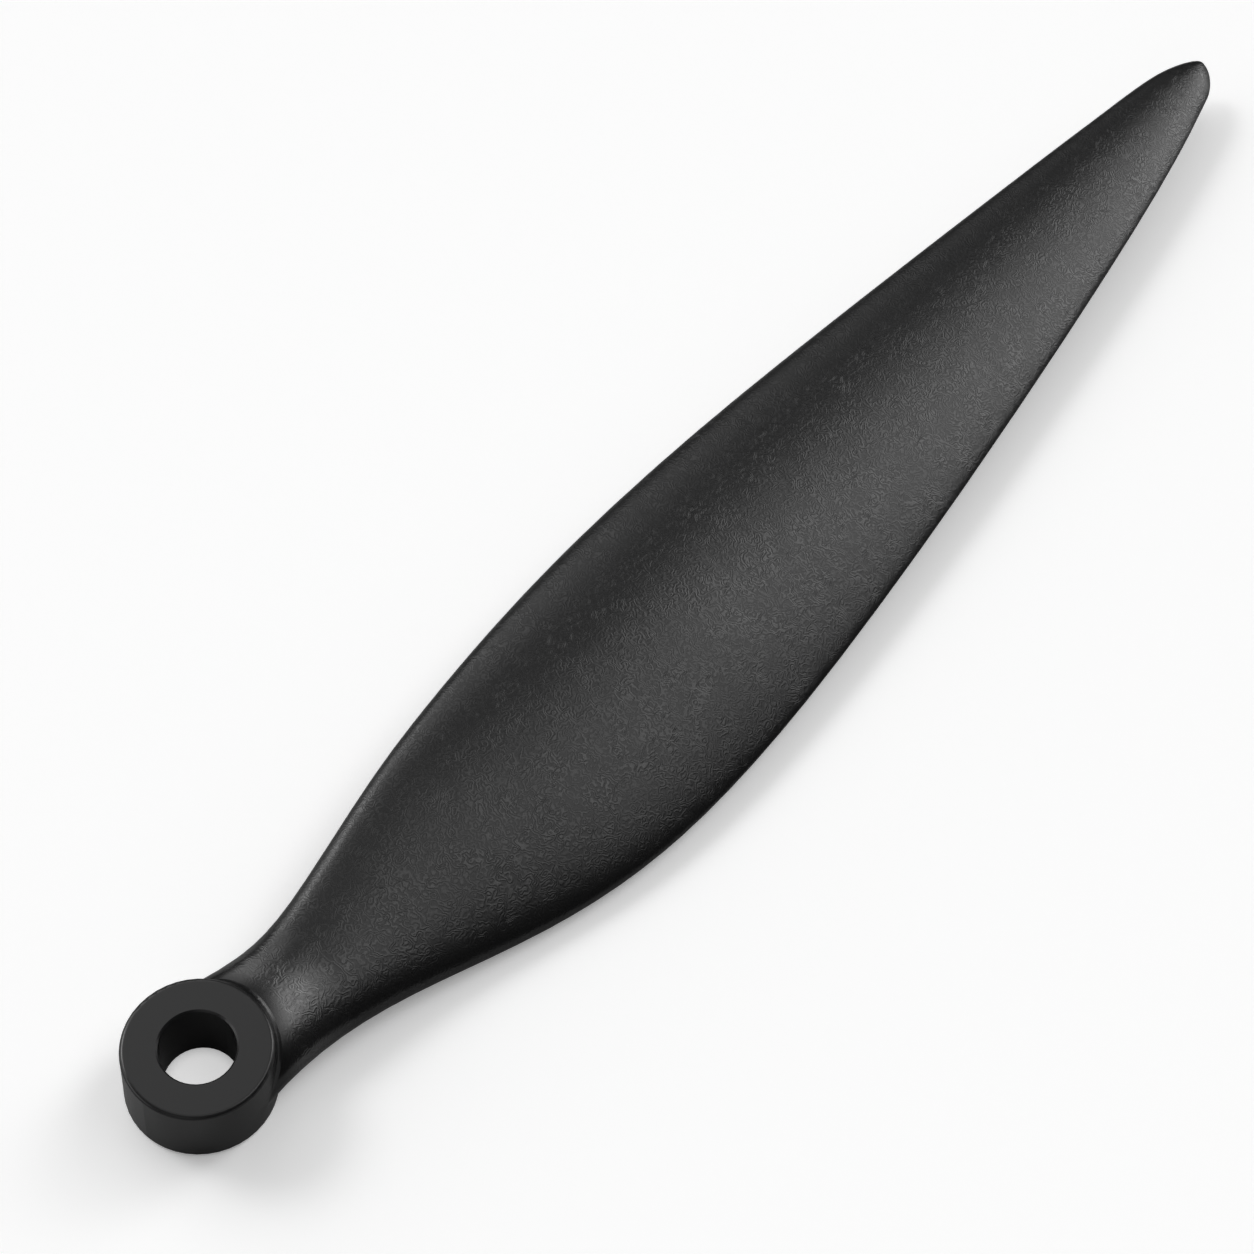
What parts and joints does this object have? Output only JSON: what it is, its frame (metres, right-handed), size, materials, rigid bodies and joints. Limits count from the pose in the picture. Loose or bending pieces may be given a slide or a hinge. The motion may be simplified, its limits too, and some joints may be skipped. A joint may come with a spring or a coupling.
{
  "type": "propeller blade",
  "caption": "Twisted aerofoil blade moulded in one piece with a flat pivot boss and a bore, for a folding propeller hub.",
  "frame": {"origin": "on the bore axis, at mid height of the pivot boss", "axes": "+X along the span from the bore to the tip, +Y towards the leading edge, +Z along the bore axis on the suction side, the same way as thrust"},
  "size_m": [0.2462, 0.0394, 0.0129],
  "materials": {
    "blade_plastic": "fine mould grain with a soft sheen on the blade, smooth and matte on the boss"
  },
  "bodies": {
    "root": {"propeller_blade": "blade_plastic"}
  },
  "joints": []
}
